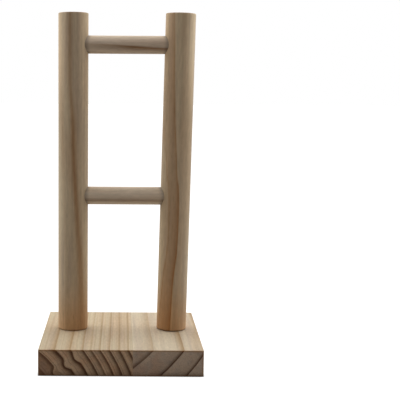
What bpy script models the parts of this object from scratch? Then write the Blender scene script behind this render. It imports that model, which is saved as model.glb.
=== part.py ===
"""Headphone stand in pine: a base glued up from two boards, two round posts and two round crossbars.

The headband lies over the upper crossbar, between the heads of the posts. The lower crossbar
braces the frame. Each crossbar end is glued into a blind hole in a post, and each post stands
butt-jointed on the base, held by one countersunk wood screw driven up from underneath.

Metres, +Z up, +X to the right, +Y to the back. The origin is the middle of the base's underside.
Run with: blender --background --python part.py
"""

import math

import bmesh
import bpy
from mathutils import Matrix, Vector

# Driving dimensions.
BASE_WIDTH = 0.130
BASE_DEPTH = 0.130
BASE_THICKNESS = 0.021
BOARD_JOINT_X = 0.0093  # the glue line between the base's two boards
POST_DIAMETER = 0.025
POST_LENGTH = 0.266
POST_SETBACK = 0.006  # the posts stand this far behind the middle of the base
POST_FOOT_X = {"left": -0.041, "right": 0.043}
POST_LEAN = {"left": 0.0, "right": math.radians(1.1)}  # outwards, so the posts spread towards the top
CROSSBAR_DIAMETER = 0.015
CROSSBAR_LENGTH = 0.084
CROSSBAR_HEIGHT = {"lower": 0.114, "upper": 0.240}  # axis above the base's top face
SEAT_DEPTH = 0.012  # how far a crossbar's hole runs into a post, from the post's nearest line
SCREW_LENGTH = 0.050
SCREW_HEAD_RADIUS = 0.0048
SCREW_SHANK_RADIUS = 0.0018
SCREW_THREAD_RADIUS = 0.0025
SCREW_THREAD_LENGTH = 0.030
SCREW_THREAD_PITCH = 0.0025
SCREW_RECESS = 0.0005  # the head's face lies this far inside the base

# Details.
GAP = 0.0003  # between pieces that touch
BOARD_ARRIS = 0.0006
POST_ARRIS = 0.0005
CROSSBAR_ARRIS = 0.0008
HEAD_RIM = 0.0003  # the straight edge of a screw head, below its cone
TIP_LENGTH = 0.005
THREAD_HALF_WIDTH = 0.00065  # at the thread's foot
THREAD_SINK = 0.0004  # how deep the thread's foot lies inside the shank
DRIVE_DEPTH = 0.0024
DRIVE_REACH = 0.0026
DRIVE_HALF_WIDTH = 0.00055
DRIVE_TAPER = 0.45
CUTTER_OVERRUN = 0.002  # how far a cutter passes the face that it enters
POST_SIDES = 64
CROSSBAR_SIDES = 48
SCREW_SIDES = 24
THREAD_STEPS = 14  # per turn
SHARP_ANGLE = math.radians(28)
MERGE_DISTANCE = 1e-6

POST_RADIUS = POST_DIAMETER / 2
CROSSBAR_RADIUS = CROSSBAR_DIAMETER / 2
INWARD = {"left": 1, "right": -1}  # the X direction from a post to the other one


def clear_scene():
    for old in list(bpy.data.objects):
        bpy.data.objects.remove(old)


def material(name, colour, roughness, metallic=0.0):
    made = bpy.data.materials.new(name)
    made.use_nodes = True
    shader = made.node_tree.nodes["Principled BSDF"]
    shader.inputs["Base Color"].default_value = (*colour, 1.0)
    shader.inputs["Roughness"].default_value = roughness
    shader.inputs["Metallic"].default_value = metallic
    return made


def object_from(name, bm, surface=None):
    """Turns a bmesh into a named object, its faces pointing out. Without a surface it is a hidden helper."""
    bmesh.ops.recalc_face_normals(bm, faces=bm.faces)
    mesh = bpy.data.meshes.new(name)
    bm.to_mesh(mesh)
    bm.free()
    made = bpy.data.objects.new(name, mesh)
    bpy.context.scene.collection.objects.link(made)
    if surface is None:
        made.hide_render = True
        made.display_type = "WIRE"
    else:
        mesh.materials.append(surface)
    return made


def shade_round(made):
    made.data.shade_smooth()
    made.data.set_sharp_from_angle(angle=SHARP_ANGLE)


def turned(profile, sides):
    """A bmesh turned about Z from (radius, height) points that start and end on the axis."""
    bm = bmesh.new()
    points = [bm.verts.new((radius, 0.0, height)) for radius, height in profile]
    edges = [bm.edges.new(pair) for pair in zip(points, points[1:])]
    bmesh.ops.spin(
        bm,
        geom=points + edges,
        cent=(0, 0, 0),
        axis=(0, 0, 1),
        angle=math.tau,
        steps=sides,
        use_merge=True,
    )
    bmesh.ops.remove_doubles(bm, verts=bm.verts, dist=MERGE_DISTANCE)
    return bm


def rod(radius, length, arris, sides):
    """A round rod along Z from the origin, with chamfered ends."""
    profile = [
        (0, 0),
        (radius - arris, 0),
        (radius, arris),
        (radius, length - arris),
        (radius - arris, length),
        (0, length),
    ]
    return turned(profile, sides)


def boolean(target, operation, tool):
    step = target.modifiers.new(tool.name, "BOOLEAN")
    step.operation = operation
    step.object = tool
    step.solver = "EXACT"


def post_frame(side):
    """The post's own frame: its foot on the base's top face, and Z along its axis."""
    foot = Matrix.Translation((POST_FOOT_X[side], POST_SETBACK, BASE_THICKNESS))
    outward_lean = -INWARD[side] * POST_LEAN[side]
    return foot @ Matrix.Rotation(outward_lean, 4, "Y")


def axis_point(side, height):
    """Where the post's axis passes at a height above the base's top face."""
    frame = post_frame(side)
    direction = frame.to_3x3() @ Vector((0, 0, 1))
    return frame.translation + direction * (height / direction.z)


def foot_lift(side):
    """How far a leaning post is raised, so that its square-cut foot just clears the base."""
    return GAP + (POST_RADIUS - POST_ARRIS) * math.sin(POST_LEAN[side])


def along_x(start_x, sign, y, z):
    """A frame at that point, whose Z runs along the world's X in the direction of sign."""
    return Matrix.Translation((start_x, y, z)) @ Matrix.Rotation(sign * math.pi / 2, 4, "Y")


def base_board(side, low_x, high_x, surface):
    """One board of the base. Its edges are eased, apart from those on the glue line."""
    bm = bmesh.new()
    bmesh.ops.create_cube(bm, size=1.0)
    size = Matrix.Diagonal((high_x - low_x, BASE_DEPTH, BASE_THICKNESS, 1))
    place = Matrix.Translation(((low_x + high_x) / 2, 0, BASE_THICKNESS / 2))
    bmesh.ops.transform(bm, matrix=place @ size, verts=bm.verts)
    joint_x = high_x if side == "left" else low_x
    eased = [
        edge
        for edge in bm.edges
        if any(abs(vert.co.x - joint_x) > BOARD_ARRIS for vert in edge.verts)
    ]
    bmesh.ops.bevel(
        bm, geom=eased, offset=BOARD_ARRIS, segments=2, profile=0.5, affect="EDGES", clamp_overlap=True
    )
    board = object_from(f"base_board_{side}", bm, surface)
    boolean(board, "DIFFERENCE", screw_hole_cutter(side))
    shade_round(board)
    return board


def screw_frame(side):
    """The screw's own frame: the middle of its head's face, and Z along the screw, towards its tip."""
    frame = post_frame(side)
    direction = frame.to_3x3() @ Vector((0, 0, 1))
    head = frame.translation - direction * ((BASE_THICKNESS - SCREW_RECESS) / direction.z)
    turn = frame.to_3x3().to_4x4()
    return Matrix.Translation(head) @ turn


def screw_hole_cutter(side):
    """The countersunk clearance hole through the base, a gap wider than the screw all round."""
    hole = SCREW_THREAD_RADIUS + GAP
    mouth = SCREW_HEAD_RADIUS + GAP * math.sqrt(2)
    cone_end = HEAD_RIM + mouth - hole
    profile = [
        (0, -CUTTER_OVERRUN),
        (mouth, -CUTTER_OVERRUN),
        (mouth, HEAD_RIM),
        (hole, cone_end),
        (hole, BASE_THICKNESS + CUTTER_OVERRUN),
        (0, BASE_THICKNESS + CUTTER_OVERRUN),
    ]
    cutter = object_from(f"cutter_base_hole_{side}", turned(profile, SCREW_SIDES))
    cutter.matrix_world = screw_frame(side)
    return cutter


def pilot_cutter(side):
    """The blind hole for the screw, up the middle of the post from its foot."""
    hole = SCREW_THREAD_RADIUS + GAP
    depth = SCREW_RECESS + SCREW_LENGTH + CUTTER_OVERRUN - BASE_THICKNESS
    profile = [(0, -CUTTER_OVERRUN), (hole, -CUTTER_OVERRUN), (hole, depth - hole), (0, depth)]
    cutter = object_from(f"cutter_pilot_{side}", turned(profile, SCREW_SIDES))
    cutter.matrix_world = post_frame(side)
    return cutter


def seat_cutter(side, level):
    """The blind hole in a post for one end of a crossbar."""
    centre = axis_point(side, CROSSBAR_HEIGHT[level])
    inward = INWARD[side]
    floor_x = centre.x + inward * (POST_RADIUS - SEAT_DEPTH)
    reach = SEAT_DEPTH + CUTTER_OVERRUN
    profile = [(0, 0), (CROSSBAR_RADIUS + GAP, 0), (CROSSBAR_RADIUS + GAP, reach), (0, reach)]
    cutter = object_from(f"cutter_seat_{side}_{level}", turned(profile, CROSSBAR_SIDES))
    cutter.matrix_world = along_x(floor_x, inward, centre.y, centre.z)
    return cutter


def post(side, surface):
    lift = foot_lift(side)
    made = object_from(
        f"post_{side}", rod(POST_RADIUS, POST_LENGTH - lift, POST_ARRIS, POST_SIDES), surface
    )
    made.matrix_world = post_frame(side) @ Matrix.Translation((0, 0, lift))
    boolean(made, "DIFFERENCE", pilot_cutter(side))
    for level in CROSSBAR_HEIGHT:
        boolean(made, "DIFFERENCE", seat_cutter(side, level))
    shade_round(made)
    return made


def crossbar(level, surface):
    """A round bar between the posts, as deep in one post as in the other."""
    left = axis_point("left", CROSSBAR_HEIGHT[level])
    right = axis_point("right", CROSSBAR_HEIGHT[level])
    start_x = (left.x + right.x - CROSSBAR_LENGTH) / 2
    bar = rod(CROSSBAR_RADIUS, CROSSBAR_LENGTH, CROSSBAR_ARRIS, CROSSBAR_SIDES)
    made = object_from(f"crossbar_{level}", bar, surface)
    made.matrix_world = along_x(start_x, 1, left.y, left.z)
    shade_round(made)
    return made


def screw_core():
    """Head, shank and point of the screw, without its thread."""
    cone_end = HEAD_RIM + SCREW_HEAD_RADIUS - SCREW_SHANK_RADIUS
    profile = [
        (0, 0),
        (SCREW_HEAD_RADIUS, 0),
        (SCREW_HEAD_RADIUS, HEAD_RIM),
        (SCREW_SHANK_RADIUS, cone_end),
        (SCREW_SHANK_RADIUS, SCREW_LENGTH - TIP_LENGTH),
        (0, SCREW_LENGTH),
    ]
    return turned(profile, SCREW_SIDES)


def screw_thread():
    """A three-sided ridge wound up the shank. It grows from nothing and fades out along the point."""
    bm = bmesh.new()
    turns = (SCREW_THREAD_LENGTH - TIP_LENGTH / 2) / SCREW_THREAD_PITCH
    steps = round(turns * THREAD_STEPS)
    start = SCREW_LENGTH - SCREW_THREAD_LENGTH
    point_start = SCREW_LENGTH - TIP_LENGTH
    rings = []
    for step in range(steps + 1):
        angle = math.tau * step / THREAD_STEPS
        height = start + SCREW_THREAD_PITCH * step / THREAD_STEPS
        shank = SCREW_SHANK_RADIUS * min(1.0, (SCREW_LENGTH - height) / (SCREW_LENGTH - point_start))
        ease = min(1.0, (step + 1) / THREAD_STEPS, (steps + 1 - step) / THREAD_STEPS)
        foot = max(shank - THREAD_SINK, shank / 2)
        crest = shank + (SCREW_THREAD_RADIUS - SCREW_SHANK_RADIUS) * ease
        outline = [(foot, -THREAD_HALF_WIDTH), (crest, 0), (foot, THREAD_HALF_WIDTH)]
        rings.append(
            [
                bm.verts.new((r * math.cos(angle), r * math.sin(angle), height + rise))
                for r, rise in outline
            ]
        )
    for ring, following in zip(rings, rings[1:]):
        for k in range(3):
            j = (k + 1) % 3
            bm.faces.new((ring[k], ring[j], following[j], following[k]))
    bm.faces.new(rings[0])
    bm.faces.new(rings[-1])
    bmesh.ops.triangulate(bm, faces=bm.faces)
    return bm


def drive_cutter(side):
    """The cross recess in the screw's head, narrowing with depth."""
    a, b = DRIVE_HALF_WIDTH, DRIVE_REACH
    outline = [(a, a), (a, b), (-a, b), (-a, a), (-b, a), (-b, -a)]
    outline += [(-x, -y) for x, y in outline]
    bm = bmesh.new()
    levels = []
    for height, size in ((-CUTTER_OVERRUN, 1.0), (0.0, 1.0), (DRIVE_DEPTH, DRIVE_TAPER)):
        levels.append([bm.verts.new((x * size, y * size, height)) for x, y in outline])
    for lower, upper in zip(levels, levels[1:]):
        for k in range(len(outline)):
            j = (k + 1) % len(outline)
            bm.faces.new((lower[k], lower[j], upper[j], upper[k]))
    bm.faces.new(levels[0])
    bm.faces.new(levels[-1])
    cutter = object_from(f"cutter_drive_{side}", bm)
    cutter.matrix_world = screw_frame(side)
    return cutter


def post_screw(side, surface):
    made = object_from(f"post_screw_{side}", screw_core(), surface)
    thread = object_from(f"helper_thread_{side}", screw_thread())
    made.matrix_world = screw_frame(side)
    thread.matrix_world = screw_frame(side)
    boolean(made, "UNION", thread)
    boolean(made, "DIFFERENCE", drive_cutter(side))
    shade_round(made)
    return made


def main():
    clear_scene()
    board_pine = material("board_pine", (0.62, 0.47, 0.31), 0.55)
    post_pine = material("post_pine", (0.48, 0.35, 0.22), 0.50)
    zinc = material("zinc_plated_steel", (0.72, 0.70, 0.66), 0.32, 1.0)
    base_board("left", -BASE_WIDTH / 2, BOARD_JOINT_X - GAP / 2, board_pine)
    base_board("right", BOARD_JOINT_X + GAP / 2, BASE_WIDTH / 2, board_pine)
    for side in POST_FOOT_X:
        post(side, post_pine)
        post_screw(side, zinc)
    for level in CROSSBAR_HEIGHT:
        crossbar(level, post_pine)


main()
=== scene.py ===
"""The looks of the pine headphone stand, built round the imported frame.

Every wooden piece is a fine mesh that replaces its CAD node. The two boards of the base meet on a glue line
and the posts stand on the base, a hairline apart where the CAD keeps 0.3 mm. The crossbars sit in drilled
seats with a little clearance. The wood is solid: each piece's growth rings are worked out in its own timber,
in millimetres, so that the end grain on one face runs on into the lines along the next. The two screws keep
their CAD meshes.
"""

import math
from dataclasses import dataclass, field

import bmesh
import bpy
from mathutils import Euler, Matrix, Vector, noise


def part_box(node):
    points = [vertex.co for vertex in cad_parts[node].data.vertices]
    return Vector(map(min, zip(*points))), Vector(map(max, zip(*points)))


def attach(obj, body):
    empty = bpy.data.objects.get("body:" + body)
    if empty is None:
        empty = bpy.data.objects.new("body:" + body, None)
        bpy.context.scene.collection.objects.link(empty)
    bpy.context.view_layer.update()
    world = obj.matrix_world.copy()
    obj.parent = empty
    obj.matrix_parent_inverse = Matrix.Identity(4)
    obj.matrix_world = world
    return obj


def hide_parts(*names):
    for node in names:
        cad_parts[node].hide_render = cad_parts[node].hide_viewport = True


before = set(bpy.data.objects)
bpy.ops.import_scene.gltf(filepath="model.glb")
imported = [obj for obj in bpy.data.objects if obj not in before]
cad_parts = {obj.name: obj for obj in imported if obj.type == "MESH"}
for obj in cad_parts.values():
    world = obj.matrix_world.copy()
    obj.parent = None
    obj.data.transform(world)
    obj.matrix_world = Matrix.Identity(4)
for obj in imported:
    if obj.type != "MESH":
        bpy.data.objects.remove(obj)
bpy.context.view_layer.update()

MM_PER_M = 1000.0

# Fits between the pieces, in metres.
GLUE_LINE = 0.00004
FOOT_GAP = 0.00003
SEAT_CLEARANCE = 0.00028
PILOT_RADIUS = 0.0028
HOLE_MOUTH_RADIUS = 0.0052
HOLE_RIM = 0.0003

# Eased edges and the unevenness of hand sanding.
BOARD_ARRIS = 0.0007
BOARD_ARRIS_SPREAD = 0.35
POST_ARRIS = 0.0006
CROSSBAR_ARRIS = 0.0004
SANDING_DEPTH = 0.00002
SANDING_SCALE = 45.0
ARRIS_SCALE = 90.0

# How finely the meshes are divided.
ARC_STEPS = 3
BOARD_STEP = 0.007
SUPPORT_LOOP = 0.0016
ROD_STEP = 0.006
POST_SIDES = 96
CROSSBAR_SIDES = 72
HOLE_SIDES = 48
SHARP_ANGLE = math.radians(35)
MERGE_DISTANCE = 1e-7
CUTTER_OVERRUN = 0.002
END_SLAB = 0.002  # the vertices this near a rod's end belong to its end

# Camera: its lens and sensor in millimetres, its place in metres, its angles in degrees.
LENS = 83.75
SENSOR = 36.0
CAMERA_PLACE = (-0.0023, -0.7759, 0.2172)
CAMERA_PITCH = 5.93
CAMERA_YAW = 0.05
CAMERA_ROLL = 0.362
CAMERA_SHIFT = (0.2044, -0.014)

# Light. The stand is in a white surround that is open on the camera's side, and so dark and a little warmer
# there. A softbox hangs over it, and a panel on each side lights its sides from behind. The camera sees the
# floor as a lit white table, while the stand itself is lit by a plain grey one, so that its front stays dark.
SURROUND = (
    (0.0, (0.105, 0.070, 0.048)),  # on the camera's side
    (0.35, (0.30, 0.27, 0.25)),
    (0.5, (0.85, 0.84, 0.84)),  # to the sides, above and below
    (1.0, (1.5, 1.5, 1.5)),  # behind the stand
)
BACKDROP = (1.0, 1.0, 1.0)
SOFTBOX_SIZE = 0.5
SOFTBOX_POWER = 1.15
SOFTBOX_PLACE = (0.0, 0.01, 0.76)
PANEL_SIZE = 0.5
PANEL_POWER = 1.05
PANEL_PLACE = (0.58, 0.19, 0.24)  # the right-hand one, and the other mirrors it
PANEL_AIM = (0.0, 0.0, 0.2)
FLOOR_COLOUR = (0.32, 0.32, 0.32)
FLOOR_GLOW = 0.92
FLOOR_RADIUS = 30.0
FLOOR_SIDES = 64
FLOOR_ROUGHNESS = 0.9
TOOTH_SCALE = 400.0
TOOTH_TONE = 0.02
SHADOW_REACH = 0.002  # the floor stops glowing where something is this near, which paints a contact shadow under the base
SHADOW_BLEND = (0.35, 0.95)

# The wood's patterns. Each is a noise's scale across the grain, per mm, its scale along the grain as a share
# of that, its detail and its roughness.
STREAKS = (0.45, 0.02, 3.0, 0.55)  # long streaks, a few millimetres wide
FIBRES = (2.4, 0.03, 3.0, 0.6)  # the finest lines
MOTTLE = (0.6, 0.25, 2.0, 0.5)  # short blotches
BROAD = (0.09, 0.10, 2.0, 0.5)  # warm patches
DRIFT = (0.16, 0.05, 2.0, 0.5)  # grey patches
CANALS = (1.5, 0.07, 1.0, 0.5)  # resin canals
PORES = (1.3, 1.0, 3.0, 0.7)  # the grit of an end face
WANDER = (0.11, 0.12, 3.0, 0.5)  # how the rings stray from circles
FEATHER = (1.1, 0.012, 2.0, 0.5)  # how a ring's line frays along the grain
RUBBING = (0.35, 1.0, 2.0, 0.5)  # where the edges are rubbed
SEED_SHARES = (1.0, 0.7, 1.3)  # how far a timber's seed moves its noises, across, through and along
RAYS_AROUND = 260.0
RAYS_OUTWARD = 0.25

# How dark a ring is, from its start to its outer edge: on the end grain, and along the grain of the boards,
# of the left post, of the right post and of the crossbars.
END_PROFILE = ((0.0, 0.60), (0.06, 0.16), (0.14, 0.0), (0.38, 0.16), (0.64, 0.42), (0.84, 0.90), (1.0, 1.0))
FACE_PROFILE = ((0.0, 0.35), (0.10, 0.06), (0.35, 0.0), (0.72, 0.16), (0.92, 0.80), (1.0, 1.0))
STREAK_PROFILE = (
    *((0.0, 0.85), (0.07, 0.50), (0.16, 0.16), (0.28, 0.0)),
    *((0.52, 0.0), (0.74, 0.30), (0.92, 0.95), (1.0, 0.85)),
)
BAND_PROFILE = ((0.0, 0.60), (0.08, 0.50), (0.50, 0.58), (0.78, 0.80), (0.93, 1.0), (1.0, 0.60))
BAR_PROFILE = (
    *((0.0, 0.65), (0.06, 0.40), (0.16, 0.18), (0.30, 0.22)),
    *((0.60, 0.50), (0.85, 0.85), (0.95, 0.95), (1.0, 0.65)),
)
# The right board's rings are wide, and dark only at their outer edge.
WIDE_PROFILE = (
    *((0.0, 0.5), (0.02, 0.10), (0.05, 0.0), (0.50, 0.08)),
    *((0.82, 0.25), (0.92, 0.65), (0.98, 1.0), (1.0, 1.0)),
)
# The faint rings between the left board's others.
FINE_PROFILE = ((0.0, 0.5), (0.12, 0.0), (0.62, 0.0), (0.88, 0.5), (1.0, 0.5))


def srgb(red, green, blue):
    """A linear colour with alpha, from the usual 0 to 255 values."""

    def linear(value):
        share = value / 255
        return share / 12.92 if share <= 0.04045 else ((share + 0.055) / 1.055) ** 2.4

    return (linear(red), linear(green), linear(blue), 1.0)


# How the wood's patterns show. A blend is (from, to, share at from, share at to), and the share passes
# smoothly between the two. A tone is how much a pattern lightens and darkens the colour. Reaches are in mm.
END_FACING = (0.45, 0.85)  # how squarely a surface faces along the grain, from side to end grain
FINE_RINGS_END = 0.75
FINE_RINGS_FACE = 0.5
CANAL_BLEND = (0.69, 0.76)
CANAL_SHARE = 0.4
CANAL_LATE_SHARE = 0.5  # added to that in the latewood
CANAL_TONE = 0.30
WARM_BLEND = (0.40, 0.70, 0.0, 0.6)
GREY_BLEND = (0.45, 0.70, 0.0, 0.6)
STREAK_TONE = 0.34
FIBRE_TONE = 0.26
MOTTLE_TONE = 0.30
HEART_REACH = 6.0
HEART_SHARE = 0.55
HEART_COLOUR = srgb(150, 108, 86)
END_WARM_BLEND = (0.45, 0.65, 0.0, 0.45)
END_WARM_TINT = srgb(240, 218, 208)
END_COOL_BLEND = (0.45, 0.65, 0.0, 0.5)
END_COOL_TINT = srgb(228, 234, 244)
END_RIM_BLEND = (0.5, 2.0, 0.60, 0.0)
END_RIM_COLOUR = srgb(154, 108, 64)
RAY_TONE = 0.30
PORE_TONE = 0.95

# Painted light and shade, and wear.
FOOT_BOUNCE_REACH = 48.0  # painted warm light, bounced from the base, this far up a post from its foot
FOOT_BOUNCE_COLOUR = srgb(200, 152, 104)
# Painted shade round a post's foot, where it stands on the base.
FOOT_SHADE_REACH = (0.2, 1.5)
# Painted shade on a crossbar round its seats in the posts.
SEAT_SHADE = (0.0, 3.4, 0.36, 0.0)
# Painted shade along a board's bottom edge.
BOTTOM_SHADE_REACH = (0.8, 5.0)
# Painted light on a post's sides near its head:
HEAD_LIGHT_SIDES = (2.0, 10.0)  # from a post's front line to its sides
HEAD_LIGHT_SHIFT = (-1.0, 1.0)  # across its front line, from one side's share to the other's
HEAD_LIGHT_REACH = (30.0, 100.0)  # down from its head
RUBBED_BLEND = (0.35, 0.65)
WORN_BLEND = (0.2, 0.9, 1.0, 0.0)
WORN_TONE = 0.18

# The wood's surface.
ROUGHNESS = 0.74
FIBRE_ROUGHNESS = 0.25
END_ROUGHNESS = 0.16
LATE_SMOOTHNESS = 0.10
WORN_SMOOTHNESS = 0.10
SPECULAR_LEVEL = 0.10
LATE_HEIGHT = 0.35
FIBRE_HEIGHT = 0.55
PORE_HEIGHT = 0.9
CANAL_DEPTH = 0.6
RELIEF_STRENGTH = 0.5
RELIEF_DEPTH = 0.00006

# Zinc plating.
ZINC_PALE = srgb(206, 203, 192)
ZINC_DULL = srgb(176, 170, 150)
BLOTCH_SCALE = 900.0
BLOTCH_BLEND = (0.35, 0.7)
BLOTCH_ROUGHNESS = 0.25
GRIT_SCALE = 6000.0
GRIT_ROUGHNESS = 0.1
ZINC_ROUGHNESS = 0.22
ZINC_RELIEF_STRENGTH = 0.3
ZINC_RELIEF_DEPTH = 0.00002


# ---------------------------------------------------------------- meshes


def add_object(name, bm, material=None):
    bmesh.ops.recalc_face_normals(bm, faces=bm.faces)
    mesh = bpy.data.meshes.new(name)
    bm.to_mesh(mesh)
    bm.free()
    made = bpy.data.objects.new(name, mesh)
    bpy.context.scene.collection.objects.link(made)
    if material:
        mesh.materials.append(material)
    return made


def cut(target, cutters):
    """Takes the cutters out of the target for good, and deletes them."""
    for cutter in cutters:
        step = target.modifiers.new(cutter.name, "BOOLEAN")
        step.operation = "DIFFERENCE"
        step.solver = "EXACT"
        step.object = cutter
    graph = bpy.context.evaluated_depsgraph_get()
    solid = bpy.data.meshes.new_from_object(target.evaluated_get(graph), depsgraph=graph)
    target.modifiers.clear()
    target.data = solid
    for cutter in cutters:
        bpy.data.objects.remove(cutter)


def finish_shading(made):
    """Smooth shading that keeps flat faces flat and real edges sharp."""
    made.data.shade_smooth()
    made.data.set_sharp_from_angle(angle=SHARP_ANGLE)
    weighted = made.modifiers.new("weighted_normals", "WEIGHTED_NORMAL")
    weighted.mode = "FACE_AREA_WITH_ANGLE"
    weighted.keep_sharp = True


def stations(low, high, arris, step):
    """Places along one side of a rounded box: round the arris, a support loop, then even steps."""
    turns = [math.radians(45) * (1 - k / ARC_STEPS) for k in range(ARC_STEPS + 1)]
    near = [arris * (1 - math.tan(turn)) for turn in turns] + [SUPPORT_LOOP]
    span = high - low - 2 * SUPPORT_LOOP
    count = max(2, round(span / step))
    inner = [low + SUPPORT_LOOP + span * k / count for k in range(1, count)]
    return [low + d for d in near] + inner + [high - d for d in reversed(near)]


def rounded_block(low, high, arris, step):
    """A bmesh box with rounded edges, whose radius wanders a little as on hand-sanded wood."""
    bm = bmesh.new()
    axes = [stations(low[k], high[k], arris * (1 + BOARD_ARRIS_SPREAD), step) for k in range(3)]
    for fixed in range(3):
        u, v = [k for k in range(3) if k != fixed]
        for side in (low[fixed], high[fixed]):
            grid = {}
            for i, a in enumerate(axes[u]):
                for j, b in enumerate(axes[v]):
                    point = [0.0, 0.0, 0.0]
                    point[fixed], point[u], point[v] = side, a, b
                    grid[i, j] = bm.verts.new(point)
            for i in range(len(axes[u]) - 1):
                for j in range(len(axes[v]) - 1):
                    bm.faces.new((grid[i, j], grid[i + 1, j], grid[i + 1, j + 1], grid[i, j + 1]))
    bmesh.ops.remove_doubles(bm, verts=bm.verts, dist=MERGE_DISTANCE)
    for vert in bm.verts:
        wander = noise.noise(vert.co * ARRIS_SCALE)
        radius = arris * (1 + BOARD_ARRIS_SPREAD * wander)
        inner = Vector([min(max(vert.co[k], low[k] + radius), high[k] - radius) for k in range(3)])
        outward = (vert.co - inner).normalized()
        dent = SANDING_DEPTH * (1 + noise.noise(vert.co * SANDING_SCALE))
        vert.co = inner + outward * (radius - dent)
    return bm


def keep_side(bm, plane_x, sign):
    """Cuts the block across X and keeps the side that sign points to, closed by a flat face."""
    whole = list(bm.verts) + list(bm.edges) + list(bm.faces)
    cut_made = bmesh.ops.bisect_plane(
        bm,
        geom=whole,
        dist=MERGE_DISTANCE,
        plane_co=(plane_x, 0, 0),
        plane_no=(-sign, 0, 0),
        clear_outer=True,
    )
    rim = [item for item in cut_made["geom_cut"] if isinstance(item, bmesh.types.BMEdge)]
    bmesh.ops.edgeloop_fill(bm, edges=rim)


def turned(profile, sides):
    """A bmesh turned about Z from (radius, height) points that start and end on the axis."""
    bm = bmesh.new()
    points = [bm.verts.new((radius, 0.0, height)) for radius, height in profile]
    edges = [bm.edges.new(pair) for pair in zip(points, points[1:])]
    bmesh.ops.spin(
        bm, geom=points + edges, cent=(0, 0, 0), axis=(0, 0, 1), angle=math.tau, steps=sides, use_merge=True
    )
    bmesh.ops.remove_doubles(bm, verts=bm.verts, dist=MERGE_DISTANCE)
    return bm


def rod(radius, length, arris, sides, place, seed):
    """A bmesh round rod with rounded ends along Z of place, its surface a little uneven."""
    turns = [math.pi / 2 * k / ARC_STEPS for k in range(ARC_STEPS + 1)]
    foot = [(0, 0), (radius - SUPPORT_LOOP, 0)]
    foot += [(radius - arris * (1 - math.sin(turn)), arris * (1 - math.cos(turn))) for turn in turns]
    span = length - 2 * SUPPORT_LOOP
    count = max(2, round(span / ROD_STEP))
    middle = [(radius, SUPPORT_LOOP + span * k / count) for k in range(count + 1)]
    head = [(r, length - h) for r, h in reversed(foot)]
    bm = turned(foot + middle + head, sides)
    for vert in bm.verts:
        out = Vector((vert.co.x, vert.co.y, 0))
        if out.length > radius - arris:
            dent = SANDING_DEPTH * (1 + noise.noise(vert.co * SANDING_SCALE + Vector((seed, 0, 0))))
            vert.co -= out.normalized() * dent
    bmesh.ops.transform(bm, matrix=place, verts=bm.verts)
    return bm


def add_cutter(name, profile, sides, place):
    bm = turned(profile, sides)
    bmesh.ops.transform(bm, matrix=place, verts=bm.verts)
    return add_object(name, bm)


def cylinder_cutter(name, radius, start, end, sides, place):
    return add_cutter(name, [(0, start), (radius, start), (radius, end), (0, end)], sides, place)


# ---------------------------------------------------------------- places, read from the frame


def along(start, direction):
    """A frame at start whose Z runs along direction."""
    return Matrix.Translation(start) @ direction.to_track_quat("Z", "Y").to_matrix().to_4x4()


def rod_ends(node):
    """The middles of the two ends of an upright round CAD node, foot first."""
    points = [vert.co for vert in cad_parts[node].data.vertices]
    low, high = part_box(node)
    ends = []
    for near in (low.z, high.z):
        ring = [p for p in points if abs(p.z - near) < END_SLAB]
        middle = [(min(p[k] for p in ring) + max(p[k] for p in ring)) / 2 for k in range(3)]
        ends.append(Vector(middle))
    return ends


@dataclass
class Post:
    """Where a post stands. It is cut square, so a leaning one touches the base along one side of its foot."""

    foot: Vector
    head: Vector
    radius: float
    place: Matrix = field(init=False)
    length: float = field(init=False)

    def __post_init__(self):
        axis = self.head - self.foot
        tilt = math.hypot(axis.x, axis.y) / axis.length
        lift = FOOT_GAP + (self.radius - POST_ARRIS) * tilt
        direction = axis.normalized()
        foot = self.foot + direction * ((base_top + lift - self.foot.z) / direction.z)
        self.place = along(foot, direction)
        self.length = (self.head - foot).length

    @property
    def lean(self):
        axis = self.head - self.foot
        return math.atan2(axis.x, axis.z)


board_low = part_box("base_board_left")[0]
board_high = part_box("base_board_right")[1]
joint_x = (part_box("base_board_left")[1].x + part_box("base_board_right")[0].x) / 2
base_top = board_high.z
post_radius = (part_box("post_left")[1].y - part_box("post_left")[0].y) / 2
posts = {side: Post(*rod_ends(f"post_{side}"), post_radius) for side in ("left", "right")}


# ---------------------------------------------------------------- shader graphs


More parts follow.
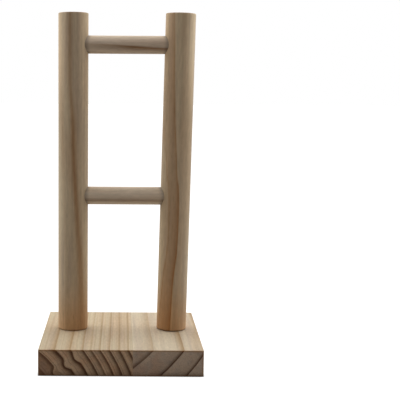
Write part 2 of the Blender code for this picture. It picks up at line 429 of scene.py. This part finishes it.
class Graph:
    """Adds nodes to one material. A value is a number, a vector, a colour or the socket it comes from."""

    def __init__(self, name):
        self.material = bpy.data.materials.new(name)
        self.material.use_nodes = True
        self.tree = self.material.node_tree
        self.shader = self.tree.nodes["Principled BSDF"]

    def feed(self, socket, value):
        if isinstance(value, bpy.types.NodeSocket):
            self.tree.links.new(value, socket)
        elif value is not None:
            socket.default_value = value

    def node(self, kind, *values, out=0, **settings):
        made = self.tree.nodes.new(kind)
        for name, value in settings.items():
            setattr(made, name, value)
        for socket, value in zip(made.inputs, values):
            self.feed(socket, value)
        return made.outputs[out]

    def math(self, operation, *values):
        return self.node("ShaderNodeMath", *values, operation=operation)

    def vector(self, operation, *values, out=0):
        return self.node("ShaderNodeVectorMath", *values, operation=operation, out=out)

    def combine(self, x, y, z):
        return self.node("ShaderNodeCombineXYZ", x, y, z)

    def split(self, vector):
        made = self.tree.nodes.new("ShaderNodeSeparateXYZ")
        self.feed(made.inputs[0], vector)
        return made.outputs[0], made.outputs[1], made.outputs[2]

    def noise(self, vector, scale, detail=2.0, roughness=0.5):
        made = self.tree.nodes.new("ShaderNodeTexNoise")
        self.feed(made.inputs["Vector"], vector)
        made.inputs["Scale"].default_value = scale
        made.inputs["Detail"].default_value = detail
        made.inputs["Roughness"].default_value = roughness
        return made.outputs["Fac"]

    def centred(self, value, amount):
        """A noise that varies either side of 0 by half the amount."""
        return self.math("MULTIPLY", self.math("SUBTRACT", value, 0.5), amount)

    def ramp(self, value, stops):
        """Straight runs between the (place, level) stops."""
        made = self.tree.nodes.new("ShaderNodeValToRGB")
        self.feed(made.inputs[0], value)
        elements = made.color_ramp.elements
        while len(elements) < len(stops):
            elements.new(1.0)
        for element, (place, level) in zip(elements, stops):
            element.position = place
            element.color = (level, level, level, 1.0)
        return made.outputs[0]

    def smooth(self, value, low, high, to_low=0.0, to_high=1.0):
        """From to_low to to_high, as the value passes from low to high."""
        made = self.tree.nodes.new("ShaderNodeMapRange")
        made.interpolation_type = "SMOOTHSTEP"
        for socket, item in zip(made.inputs, (value, low, high, to_low, to_high)):
            self.feed(socket, item)
        return made.outputs[0]

    def mix(self, factor, first, second, blend="MIX"):
        made = self.tree.nodes.new("ShaderNodeMix")
        made.data_type = "RGBA"
        made.blend_type = blend
        self.feed(made.inputs["Factor"], factor)
        self.feed([s for s in made.inputs if s.name == "A" and s.type == "RGBA"][0], first)
        self.feed([s for s in made.inputs if s.name == "B" and s.type == "RGBA"][0], second)
        return [s for s in made.outputs if s.type == "RGBA"][0]

    def bump(self, height, strength, distance):
        made = self.tree.nodes.new("ShaderNodeBump")
        made.inputs["Strength"].default_value = strength
        made.inputs["Distance"].default_value = distance
        self.feed(made.inputs["Height"], height)
        self.feed(self.shader.inputs["Normal"], made.outputs[0])

    def curve(self, value, points):
        """A smooth curve through the (place, level) points."""
        start, end = points[0][0], points[-1][0]
        floor = min(level for _, level in points)
        span = max(level for _, level in points) - floor
        share = self.math("DIVIDE", self.math("SUBTRACT", value, start), end - start)
        made = self.tree.nodes.new("ShaderNodeFloatCurve")
        self.feed(made.inputs["Value"], share)
        line = made.mapping.curves[0]
        for _ in range(len(points) - 2):
            line.points.new(0.5, 0.5)
        for point, (place, level) in zip(line.points, points):
            point.location = ((place - start) / (end - start), (level - floor) / span)
            point.handle_type = "AUTO_CLAMPED"
        made.mapping.extend = "EXTRAPOLATED"
        made.mapping.update()
        return self.math("ADD", self.math("MULTIPLY", made.outputs[0], span), floor)


# ---------------------------------------------------------------- wood


@dataclass
class Timber:
    """How one piece of wood was cut from its tree. Lengths are in millimetres, in the piece's own frame."""

    order: str  # the frame's axes that run across, through and along the grain
    centre: Vector  # in metres
    pith: tuple  # across and through, from the centre
    rings: tuple  # (outer radius, how dark its latewood is) of each ring
    edge: tuple  # half sizes of a box, or radius and half length of a rod
    lean: float = 0.0
    path: tuple = ((-200.0, 0.0), (200.0, 1.0))  # (place along, how far across) of the grain
    wave: float = 0.5  # how far the rings stray
    feather: float = 0.5  # how far their lines fray
    face_profile: tuple = FACE_PROFILE
    end_profile: tuple = END_PROFILE
    fade: tuple = ()  # (place along, how strong) of the latewood
    swirls: tuple = ()  # (across, through, reach, push) of each local bend of the rings
    fine_rings: float = 0.0  # the spacing of faint rings between the others
    heart: float = 0.0  # the radius of the redder heartwood
    early: tuple = srgb(205, 190, 161)
    late: tuple = srgb(170, 141, 103)
    warm: tuple = srgb(201, 174, 142)
    grey: tuple = srgb(190, 170, 148)
    end_early: tuple = srgb(234, 203, 168)
    end_late: tuple = srgb(98, 67, 44)
    joined: tuple = ()  # (along, through, radius) of each upright post that the rod runs into
    foot_bounce_light: float = 0.0  # how strong the painted warm bounce light is at a post's foot
    foot_shade: float = 0.0  # how dark the painted shade is round its foot, where it stands on the base
    head_side_light: tuple = ()  # how much painted light lightens its left and right sides near its head
    bottom_edge_shade: float = 0.0  # how dark the painted shade is along a board's bottom edge, near the floor
    seed: float = 0.0


class Grain:
    """The point being shaded: across, through and along the grain, in millimetres from the piece's centre."""

    def __init__(self, graph, timber):
        self.graph = graph
        self.timber = timber
        point = graph.node("ShaderNodeTexCoord", out=3)
        shifted = graph.vector("SUBTRACT", point, tuple(timber.centre))
        if timber.lean:
            turn = graph.tree.nodes.new("ShaderNodeVectorRotate")
            turn.rotation_type = "Y_AXIS"
            turn.inputs["Angle"].default_value = -timber.lean
            graph.feed(turn.inputs["Vector"], shifted)
            shifted = turn.outputs[0]
        scaled = graph.vector("SCALE", shifted)
        scaled.node.inputs["Scale"].default_value = MM_PER_M
        axes = dict(zip("XYZ", graph.split(scaled)))
        self.across, self.through, self.length = [axes[letter] for letter in timber.order]

    def noise(self, pattern):
        scale, stretch, detail, roughness = pattern
        graph = self.graph
        seed = self.timber.seed
        place = graph.combine(self.across, self.through, graph.math("MULTIPLY", self.length, stretch))
        moved = graph.vector("ADD", place, tuple(seed * share for share in SEED_SHARES))
        return graph.noise(moved, scale, detail, roughness)

    def from_axis(self, across, through, place):
        """The offset of two coordinates from place."""
        graph = self.graph
        from_across = graph.math("SUBTRACT", across, place[0])
        from_through = graph.math("SUBTRACT", through, place[1])
        return graph.combine(from_across, from_through, 0.0)

    def end_share(self):
        """1 where the surface cuts the grain across, 0 where it runs along it."""
        graph = self.graph
        normal = graph.node("ShaderNodeTexCoord", out=1)
        axes = dict(zip("XYZ", graph.split(normal)))
        return graph.smooth(graph.math("ABSOLUTE", axes[self.timber.order[2]]), *END_FACING)

    def edge_distance(self):
        """How far the point is from the nearest edge of its box or rod."""
        graph = self.graph
        if len(self.timber.edge) == 2:
            radius, half = self.timber.edge
            out = graph.vector("LENGTH", graph.combine(self.across, self.through, 0.0), out=1)
            to_end = graph.math("SUBTRACT", half, graph.math("ABSOLUTE", self.length))
            return graph.math("MAXIMUM", graph.math("SUBTRACT", radius, out), to_end)
        first, second, third = [
            graph.math("SUBTRACT", half, graph.math("ABSOLUTE", value))
            for half, value in zip(self.timber.edge, (self.across, self.through, self.length))
        ]
        nearer = graph.math("MINIMUM", first, second)
        farther = graph.math("MAXIMUM", first, second)
        return graph.math("MAXIMUM", nearer, graph.math("MINIMUM", farther, third))

    def rings(self):
        """The distance from the pith, how far out in its ring the point is, and the ring's darkness."""
        graph = self.graph
        timber = self.timber
        wander = graph.centred(self.noise(WANDER), timber.wave * 2)
        feather = graph.centred(self.noise(FEATHER), timber.feather)
        path = graph.curve(self.length, timber.path)
        stray = graph.math("ADD", graph.math("ADD", wander, feather), path)
        moved = graph.math("SUBTRACT", self.across, stray)
        for across, through, reach, push in timber.swirls:
            offset = self.from_axis(self.across, self.through, (across, through))
            distance = graph.vector("LENGTH", offset, out=1)
            moved = graph.math("SUBTRACT", moved, graph.smooth(distance, 0.0, reach, push, 0.0))
        radius = graph.vector("LENGTH", self.from_axis(moved, self.through, timber.pith), out=1)
        phase = graph.curve(radius, [(ring, float(count)) for count, (ring, _) in enumerate(timber.rings)])
        count = len(timber.rings)
        depths = [(place / count, depth) for place, (_, depth) in enumerate(timber.rings)]
        depth = graph.ramp(graph.math("DIVIDE", phase, count), depths)
        if timber.fade:
            depth = graph.math("MULTIPLY", depth, graph.curve(self.length, timber.fade))
        return radius, graph.math("FRACT", phase), depth


def painted_light_and_shade(grain, timber, tone):
    """The tone with painted shade at the crossbar seats, round the post feet and along the boards' bottom
    edges, and painted light on the posts' sides near their heads, added.
    """
    graph = grain.graph
    # Painted shade on a crossbar where it runs into a post.
    for *place, radius in timber.joined:
        offset = grain.from_axis(grain.length, grain.through, place)
        clear = graph.math("SUBTRACT", graph.vector("LENGTH", offset, out=1), radius)
        tone = graph.math("SUBTRACT", tone, graph.smooth(clear, *SEAT_SHADE))
    # Painted shade round a post's foot, where it meets the base.
    if timber.foot_shade:
        above = graph.math("ADD", grain.length, timber.edge[1])
        tone = graph.math("SUBTRACT", tone, graph.smooth(above, *FOOT_SHADE_REACH, timber.foot_shade, 0.0))
    # Painted shade: a board grows darker towards its bottom edge, by the floor.
    if timber.bottom_edge_shade:
        above = graph.math("ADD", grain.through, timber.edge[1])
        tone = graph.math("SUBTRACT", tone, graph.smooth(above, *BOTTOM_SHADE_REACH, timber.bottom_edge_shade, 0.0))
    # Painted light: a post's left and right sides lighter near its head.
    if timber.head_side_light:
        below = graph.math("SUBTRACT", timber.edge[1], grain.length)
        beside = graph.smooth(graph.math("ABSOLUTE", grain.across), *HEAD_LIGHT_SIDES)
        which = graph.smooth(grain.across, *HEAD_LIGHT_SHIFT, *timber.head_side_light)
        pale = graph.math("MULTIPLY", beside, which)
        near_head = graph.smooth(below, *HEAD_LIGHT_REACH, 1.0, 0.0)
        tone = graph.math("ADD", tone, graph.math("MULTIPLY", pale, near_head))
    return tone


def wood(name, timber):
    graph = Graph(name)
    grain = Grain(graph, timber)
    ends = grain.end_share()
    radius, ring, depth = grain.rings()

    # Latewood: it darkens slowly outwards through a ring and stops short at the ring's edge.
    late_end = graph.math("MULTIPLY", depth, graph.ramp(ring, timber.end_profile))
    faint = graph.math("MULTIPLY", depth, depth)
    late_face = graph.math("MULTIPLY", faint, graph.ramp(ring, timber.face_profile))
    if timber.fine_rings:
        fine_ring = graph.math("FRACT", graph.math("DIVIDE", radius, timber.fine_rings))
        fine = graph.ramp(fine_ring, FINE_PROFILE)
        late_end = graph.math("MAXIMUM", late_end, graph.math("MULTIPLY", fine, FINE_RINGS_END))
        late_face = graph.math("MAXIMUM", late_face, graph.math("MULTIPLY", fine, FINE_RINGS_FACE))
    late = graph.mix(ends, late_face, late_end)

    streaks = grain.noise(STREAKS)
    fibres = grain.noise(FIBRES)
    broad = grain.noise(BROAD)
    drift = grain.noise(DRIFT)
    pores = grain.noise(PORES)

    # Resin canals: short dark dashes along the grain, dots on the end grain, mostly in the latewood.
    canals = graph.smooth(grain.noise(CANALS), *CANAL_BLEND)
    canal_share = graph.math("ADD", graph.math("MULTIPLY", late, CANAL_LATE_SHARE), CANAL_SHARE)
    canals = graph.math("MULTIPLY", canals, canal_share)

    # Rays: fine lines out from the pith, seen on the end grain.
    centre = grain.from_axis(grain.across, grain.through, timber.pith)
    from_x, from_y, _ = graph.split(centre)
    around = graph.math("MULTIPLY", graph.math("ARCTAN2", from_y, from_x), RAYS_AROUND)
    rays = graph.noise(graph.combine(around, graph.math("MULTIPLY", radius, RAYS_OUTWARD), 0.0), 1.0)

    # Along the grain.
    face = graph.mix(graph.smooth(broad, *WARM_BLEND), timber.early, timber.warm)
    face = graph.mix(graph.smooth(drift, *GREY_BLEND), face, timber.grey)
    # Painted light: a warm glow near a post's foot, standing in for light bounced from the base.
    if timber.foot_bounce_light:
        foot = -timber.edge[1]
        near_foot = graph.smooth(grain.length, foot, foot + FOOT_BOUNCE_REACH, timber.foot_bounce_light, 0.0)
        face = graph.mix(near_foot, face, FOOT_BOUNCE_COLOUR)
    face = graph.mix(late_face, face, timber.late)
    face_tone = graph.math("ADD", graph.centred(streaks, STREAK_TONE), graph.centred(fibres, FIBRE_TONE))
    face_tone = graph.math("ADD", face_tone, graph.centred(grain.noise(MOTTLE), MOTTLE_TONE))

    # Across the grain. The rim of an end soaks up more and is darker.
    edge = grain.edge_distance()
    end = graph.mix(late_end, timber.end_early, timber.end_late)
    if timber.heart:
        heart = graph.smooth(radius, timber.heart - HEART_REACH, timber.heart, HEART_SHARE, 0.0)
        end = graph.mix(heart, end, HEART_COLOUR)
    for patches, blend, tint in (
        (broad, END_WARM_BLEND, END_WARM_TINT),
        (drift, END_COOL_BLEND, END_COOL_TINT),
    ):
        end = graph.mix(graph.smooth(patches, *blend), end, graph.mix(1.0, end, tint, "MULTIPLY"))
    end = graph.mix(graph.smooth(edge, *END_RIM_BLEND), end, END_RIM_COLOUR)
    end_tone = graph.math("ADD", graph.centred(rays, RAY_TONE), graph.centred(pores, PORE_TONE))

    colour = graph.mix(ends, face, end)
    tone = graph.mix(ends, face_tone, end_tone)
    tone = graph.math("SUBTRACT", tone, graph.math("MULTIPLY", canals, CANAL_TONE))
    tone = painted_light_and_shade(grain, timber, graph.math("ADD", tone, 1.0))

    # Worn edges: rubbed pale where they stand out.
    rubbed = graph.smooth(grain.noise(RUBBING), *RUBBED_BLEND)
    worn = graph.math("MULTIPLY", graph.smooth(edge, *WORN_BLEND), rubbed)
    tone = graph.math("ADD", tone, graph.math("MULTIPLY", worn, WORN_TONE))
    toned = graph.mix(1.0, colour, graph.combine(tone, tone, tone), "MULTIPLY")
    graph.feed(graph.shader.inputs["Base Color"], toned)

    roughness = graph.math("ADD", graph.centred(fibres, FIBRE_ROUGHNESS), ROUGHNESS)
    roughness = graph.math("SUBTRACT", roughness, graph.math("MULTIPLY", late, LATE_SMOOTHNESS))
    roughness = graph.math("ADD", roughness, graph.math("MULTIPLY", ends, END_ROUGHNESS))
    roughness = graph.math("SUBTRACT", roughness, graph.math("MULTIPLY", worn, WORN_SMOOTHNESS))
    graph.feed(graph.shader.inputs["Roughness"], roughness)
    graph.shader.inputs["Specular IOR Level"].default_value = SPECULAR_LEVEL

    late_height = graph.math("MULTIPLY", late, LATE_HEIGHT)
    height = graph.math("ADD", late_height, graph.math("MULTIPLY", fibres, FIBRE_HEIGHT))
    end_pores = graph.math("MULTIPLY", pores, ends)
    height = graph.math("ADD", height, graph.math("MULTIPLY", end_pores, PORE_HEIGHT))
    height = graph.math("SUBTRACT", height, graph.math("MULTIPLY", canals, CANAL_DEPTH))
    graph.bump(height, RELIEF_STRENGTH, RELIEF_DEPTH)
    return graph.material


def zinc(name):
    """Zinc-plated steel: pale, slightly yellow, with soft blotches and a fine grit."""
    graph = Graph(name)
    point = graph.node("ShaderNodeTexCoord", out=3)
    blotch = graph.noise(point, BLOTCH_SCALE, 3.0)
    grit = graph.noise(point, GRIT_SCALE)
    colour = graph.mix(graph.smooth(blotch, *BLOTCH_BLEND), ZINC_PALE, ZINC_DULL)
    graph.feed(graph.shader.inputs["Base Color"], colour)
    graph.shader.inputs["Metallic"].default_value = 1.0
    roughness = graph.math("ADD", graph.math("MULTIPLY", blotch, BLOTCH_ROUGHNESS), ZINC_ROUGHNESS)
    roughness = graph.math("ADD", roughness, graph.math("MULTIPLY", grit, GRIT_ROUGHNESS))
    graph.feed(graph.shader.inputs["Roughness"], roughness)
    graph.bump(grit, ZINC_RELIEF_STRENGTH, ZINC_RELIEF_DEPTH)
    return graph.material


# ---------------------------------------------------------------- the pieces


def board_timber(side):
    """Both boards: grain front to back, rings seen on the front face."""
    centre = (board_low + board_high) / 2
    half = (board_high - board_low) / 2 * MM_PER_M
    common = {"order": "XZY", "centre": centre, "edge": (half.x, half.z, half.y), "bottom_edge_shade": 0.22}
    if side == "left":
        return Timber(
            pith=(-116.3, -55.6),
            rings=(
                *((73.0, 0.9), (82.6, 0.9), (92.2, 1.0), (101.2, 1.0), (108.6, 0.93), (113.9, 0.75)),
                *((119.7, 0.93), (126.0, 0.93), (132.6, 0.93), (139.0, 0.93), (145.0, 0.9), (152.0, 0.9)),
            ),
            swirls=((-44.0, -2.6, 7.0, -3.6), (-53.0, -9.0, 7.0, -5.0), (-36.5, 3.2, 7.5, -2.8)),
            fine_rings=2.9,
            heart=82.6,
            seed=4.0,
            **common,
        )
    return Timber(
        pith=(-60.0, 88.0),
        rings=(
            *((80.0, 0.8), (96.0, 0.8), (115.0, 0.8), (133.6, 1.0)),
            *((148.2, 1.0), (160.0, 0.8), (175.0, 0.8)),
        ),
        path=((-65.0, 0.8), (65.0, -0.8)),
        wave=0.8,
        end_profile=WIDE_PROFILE,
        early=srgb(212, 199, 174),
        grey=srgb(198, 181, 161),
        end_early=srgb(214, 194, 172),
        seed=9.0,
        **common,
    )


def make_board(side, sign):
    """One board of the base, cut from a block that was sanded after gluing."""
    block = rounded_block(board_low, board_high, BOARD_ARRIS, BOARD_STEP)
    keep_side(block, joint_x + sign * GLUE_LINE / 2, sign)
    board = add_object(f"pine_board_{side}", block, wood(f"board_{side}_pine", board_timber(side)))
    post = posts[side]
    start = post.place @ Vector((0, 0, -(base_top + FOOT_GAP)))
    hole = Matrix.Translation(start) @ post.place.to_3x3().to_4x4()
    cone = HOLE_RIM + HOLE_MOUTH_RADIUS - PILOT_RADIUS
    profile = [
        (0, -CUTTER_OVERRUN),
        (HOLE_MOUTH_RADIUS, -CUTTER_OVERRUN),
        (HOLE_MOUTH_RADIUS, HOLE_RIM),
        (PILOT_RADIUS, cone),
        (PILOT_RADIUS, base_top + CUTTER_OVERRUN),
        (0, base_top + CUTTER_OVERRUN),
    ]
    cut(board, [add_cutter(f"hole_{side}", profile, HOLE_SIDES, hole)])
    finish_shading(board)
    return board


POST_TIMBER = {
    "left": {
        "pith": (-46.0, 14.0),
        "rings": (
            *((14.0, 0.3), (24.0, 0.3), (34.0, 0.3), (43.5, 0.4)),
            *((53.0, 1.0), (66.0, 0.4), (78.0, 0.4)),
        ),
        "fade": (
            *((-133.0, 0.82), (-20.0, 0.90), (20.0, 0.92)),
            *((60.0, 0.80), (90.0, 0.74), (133.0, 0.74)),
        ),
        "path": (
            *((-133.0, 7.2), (-83.0, 6.2), (-36.0, 4.2), (11.0, 1.6)),
            *((44.0, 0.6), (90.0, -1.8), (133.0, -1.6)),
        ),
        "face_profile": STREAK_PROFILE,
        "late": srgb(166, 122, 80),
        "head_side_light": (0.38, 0.14),
        "seed": 21.0,
    },
    "right": {
        "pith": (-60.0, -20.0),
        "rings": (
            *((24.0, 0.3), (36.0, 0.3), (45.5, 0.3), (51.6, 0.25)),
            *((53.4, 0.8), (60.8, 1.0), (61.8, 0.25), (72.5, 0.3)),
        ),
        "path": (
            *((-133.0, -2.4), (-90.0, -0.8), (-40.0, 2.2), (7.0, -0.4)),
            *((43.0, -2.9), (89.0, -4.5), (133.0, -6.0)),
        ),
        "fade": ((-133.0, 1.0), (-40.0, 1.0), (10.0, 0.86), (60.0, 0.84), (133.0, 0.7)),
        "face_profile": BAND_PROFILE,
        "late": srgb(172, 120, 72),
        "head_side_light": (0.18, 0.42),
        "seed": 33.0,
    },
}


def make_post(side, bars):
    post = posts[side]
    timber = Timber(
        order="XYZ",
        centre=post.place @ Vector((0, 0, post.length / 2)),
        lean=post.lean,
        edge=(post.radius * MM_PER_M, post.length / 2 * MM_PER_M),
        early=srgb(214, 196, 165),
        end_early=srgb(160, 132, 102),
        wave=0.6,
        feather=1.6,
        foot_bounce_light=0.6,
        foot_shade=0.5,
        **POST_TIMBER[side],
    )
    body = rod(post.radius, post.length, POST_ARRIS, POST_SIDES, post.place, timber.seed)
    made = add_object(f"pine_post_{side}", body, wood(f"post_{side}_pine", timber))
    screw_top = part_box(f"post_screw_{side}")[1].z
    depth = screw_top - base_top + CUTTER_OVERRUN
    cutters = [cylinder_cutter(f"pilot_{side}", PILOT_RADIUS, -CUTTER_OVERRUN, depth, HOLE_SIDES, post.place)]
    for level, (low, high) in bars.items():
        radius = (high.z - low.z) / 2 + SEAT_CLEARANCE
        start = Vector((low.x - SEAT_CLEARANCE, (low.y + high.y) / 2, (low.z + high.z) / 2))
        place = along(start, Vector((1, 0, 0)))
        length = high.x - low.x + 2 * SEAT_CLEARANCE
        cutters.append(cylinder_cutter(f"seat_{level}", radius, 0, length, HOLE_SIDES * 2, place))
    cut(made, cutters)
    finish_shading(made)
    return made


CROSSBAR_TIMBER = {
    "upper": {
        "pith": (-30.0, 12.0),
        "rings": ((8.0, 0.5), (15.0, 0.5), (21.5, 0.5), (28.5, 0.75), (36.3, 1.0), (44.0, 0.25)),
        "face_profile": BAR_PROFILE,
        "fade": ((-42.0, 0.55), (-14.0, 0.80), (12.0, 1.0), (42.0, 0.90)),
        "path": ((-42.0, 0.8), (42.0, -4.6)),
        "seed": 51.0,
    },
    "lower": {
        "pith": (34.0, -24.0),
        "rings": ((19.0, 0.4), (27.0, 0.4), (35.0, 0.4), (42.5, 0.8), (51.0, 0.4), (60.0, 0.4)),
        "face_profile": BAR_PROFILE,
        "path": ((-42.0, 0.3), (42.0, -0.3)),
        "seed": 64.0,
    },
}


def make_crossbar(level, low, high):
    radius = (high.z - low.z) / 2
    start = Vector((low.x, (low.y + high.y) / 2, (low.z + high.z) / 2))
    length = high.x - low.x
    centre = start + Vector((length / 2, 0, 0))
    joined = []
    for post in posts.values():
        share = (centre.z - post.foot.z) / (post.head.z - post.foot.z)
        offset = (post.foot.lerp(post.head, share) - centre) * MM_PER_M
        joined.append((offset.x, offset.y, post.radius * MM_PER_M))
    timber = Timber(
        order="ZYX",
        centre=centre,
        joined=tuple(joined),
        edge=(radius * MM_PER_M, length / 2 * MM_PER_M),
        early=srgb(236, 222, 200),
        grey=srgb(222, 206, 188),
        warm=srgb(228, 200, 168),
        late=srgb(154, 112, 72),
        end_early=srgb(160, 132, 102),
        wave=1.0,
        feather=2.0,
        **CROSSBAR_TIMBER[level],
    )
    body = rod(radius, length, CROSSBAR_ARRIS, CROSSBAR_SIDES, along(start, Vector((1, 0, 0))), timber.seed)
    made = add_object(f"pine_crossbar_{level}", body, wood(f"crossbar_{level}_pine", timber))
    finish_shading(made)
    return made


def stand_for(piece, node):
    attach(piece, "root")
    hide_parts(node)


def make_stand():
    bars = {level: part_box(f"crossbar_{level}") for level in ("upper", "lower")}
    for side, sign in (("left", -1), ("right", 1)):
        stand_for(make_board(side, sign), f"base_board_{side}")
        stand_for(make_post(side, bars), f"post_{side}")
    for level, (low, high) in bars.items():
        stand_for(make_crossbar(level, low, high), f"crossbar_{level}")
    steel = zinc("screw_zinc")
    for side in posts:
        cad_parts[f"post_screw_{side}"].material_slots[0].material = steel


# ---------------------------------------------------------------- studio


def make_floor():
    """A plain paper disc that glows for the camera alone, except next to the base, where a painted contact
    shadow cuts its glow.
    """
    bm = bmesh.new()
    bmesh.ops.create_circle(bm, cap_ends=True, segments=FLOOR_SIDES, radius=FLOOR_RADIUS)
    graph = Graph("floor_paper")
    point = graph.node("ShaderNodeTexCoord", out=3)
    tooth = graph.math("ADD", graph.centred(graph.noise(point, TOOTH_SCALE), TOOTH_TONE), 1.0)
    pale = graph.mix(1.0, (*FLOOR_COLOUR, 1.0), graph.combine(tooth, tooth, tooth), "MULTIPLY")
    graph.feed(graph.shader.inputs["Base Color"], pale)
    graph.shader.inputs["Roughness"].default_value = FLOOR_ROUGHNESS
    graph.shader.inputs["Specular IOR Level"].default_value = 0.0
    graph.shader.inputs["Emission Color"].default_value = (1.0, 1.0, 1.0, 1.0)
    seen = graph.node("ShaderNodeLightPath")
    # Painted shadow: ambient occlusion turns the floor's glow off next to the base.
    contact_shadow = graph.tree.nodes.new("ShaderNodeAmbientOcclusion")
    contact_shadow.inputs["Distance"].default_value = SHADOW_REACH
    glow = graph.smooth(contact_shadow.outputs["AO"], *SHADOW_BLEND, 0.0, FLOOR_GLOW)
    graph.feed(graph.shader.inputs["Emission Strength"], graph.math("MULTIPLY", seen, glow))
    add_object("floor", bm, graph.material)


def add_lamp(name, size, power, place, aim):
    """A square area lamp, unseen by the camera."""
    lamp = bpy.data.lights.new(name, "AREA")
    lamp.size = size
    lamp.energy = power
    made = bpy.data.objects.new(name, lamp)
    made.location = place
    made.rotation_mode = "QUATERNION"
    made.rotation_quaternion = (Vector(aim) - Vector(place)).to_track_quat("-Z", "Y")
    made.visible_camera = False
    bpy.context.scene.collection.objects.link(made)


def make_light():
    """The surround, seen by the camera as plain white, and the lamps."""
    world = bpy.data.worlds.new("white_surround")
    bpy.context.scene.world = world
    world.use_nodes = True
    tree = world.node_tree
    tree.nodes.clear()
    facing = tree.nodes.new("ShaderNodeTexCoord")
    axes = tree.nodes.new("ShaderNodeSeparateXYZ")
    share = tree.nodes.new("ShaderNodeMapRange")
    share.inputs["From Min"].default_value = -1.0
    level = tree.nodes.new("ShaderNodeValToRGB")
    while len(level.color_ramp.elements) < len(SURROUND):
        level.color_ramp.elements.new(1.0)
    for element, (spot, colour) in zip(level.color_ramp.elements, SURROUND):
        element.position = spot
        element.color = (*colour, 1.0)
    light = tree.nodes.new("ShaderNodeBackground")
    backdrop = tree.nodes.new("ShaderNodeBackground")
    backdrop.inputs["Color"].default_value = (*BACKDROP, 1.0)
    seen = tree.nodes.new("ShaderNodeLightPath")
    choose = tree.nodes.new("ShaderNodeMixShader")
    out = tree.nodes.new("ShaderNodeOutputWorld")
    tree.links.new(facing.outputs["Generated"], axes.inputs[0])
    tree.links.new(axes.outputs["Y"], share.inputs["Value"])
    tree.links.new(share.outputs[0], level.inputs[0])
    tree.links.new(level.outputs[0], light.inputs["Color"])
    tree.links.new(seen.outputs["Is Camera Ray"], choose.inputs[0])
    tree.links.new(light.outputs[0], choose.inputs[1])
    tree.links.new(backdrop.outputs[0], choose.inputs[2])
    tree.links.new(choose.outputs[0], out.inputs[0])

    add_lamp("softbox", SOFTBOX_SIZE, SOFTBOX_POWER, SOFTBOX_PLACE, (*SOFTBOX_PLACE[:2], 0.0))
    for name, sign in (("panel_left", -1), ("panel_right", 1)):
        place = (PANEL_PLACE[0] * sign, *PANEL_PLACE[1:])
        add_lamp(name, PANEL_SIZE, PANEL_POWER, place, PANEL_AIM)


def make_camera():
    data = bpy.data.cameras.new("camera")
    data.lens = LENS
    data.sensor_width = SENSOR
    data.shift_x, data.shift_y = CAMERA_SHIFT
    camera = bpy.data.objects.new("camera", data)
    level = Euler((math.radians(90 - CAMERA_PITCH), 0, math.radians(CAMERA_YAW))).to_matrix()
    roll = Matrix.Rotation(math.radians(CAMERA_ROLL), 3, "Z")
    camera.matrix_world = Matrix.Translation(CAMERA_PLACE) @ (level @ roll).to_4x4()
    bpy.context.scene.collection.objects.link(camera)
    bpy.context.scene.camera = camera


make_stand()
make_floor()
make_light()
make_camera()
bpy.context.scene.view_settings.view_transform = "Standard"
